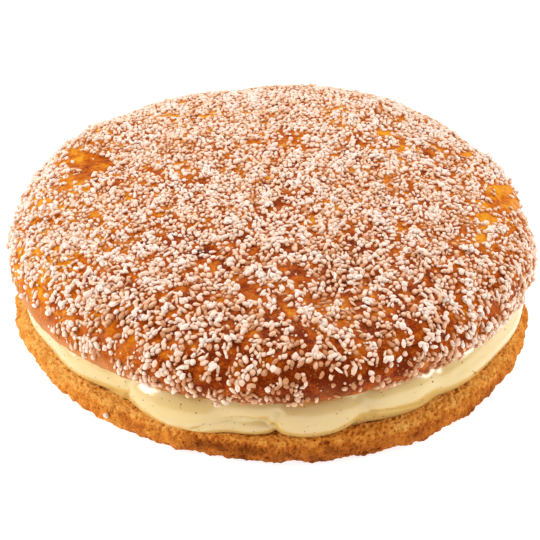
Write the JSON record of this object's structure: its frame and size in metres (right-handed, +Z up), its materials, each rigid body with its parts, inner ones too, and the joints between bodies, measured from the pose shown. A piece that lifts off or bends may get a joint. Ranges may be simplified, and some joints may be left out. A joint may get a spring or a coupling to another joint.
{
  "type": "tarte tropezienne",
  "caption": "Round filled brioche cake: a flat lower half, a thick layer of pastry cream pressed out in rolls, and a domed top strewn with sugar nibs.",
  "frame": {"origin": "on the table under the centre of the cake's bounding box", "axes": "+Z up through the crown of the dome, -Y towards the side that is seen from the front, +X to its right"},
  "size_m": [0.2408, 0.2408, 0.0709],
  "materials": {
    "brioche_crumb": "porous golden-brown baked crumb, dull",
    "pastry_cream": "smooth pale yellow cream, moist and glossy, with vanilla specks",
    "sugared_crust": "glazed orange-brown crust under white sugar nibs"
  },
  "bodies": {
    "root": {"brioche_base": "brioche_crumb", "cream_filling": "pastry_cream", "brioche_top": "sugared_crust"}
  },
  "joints": []
}
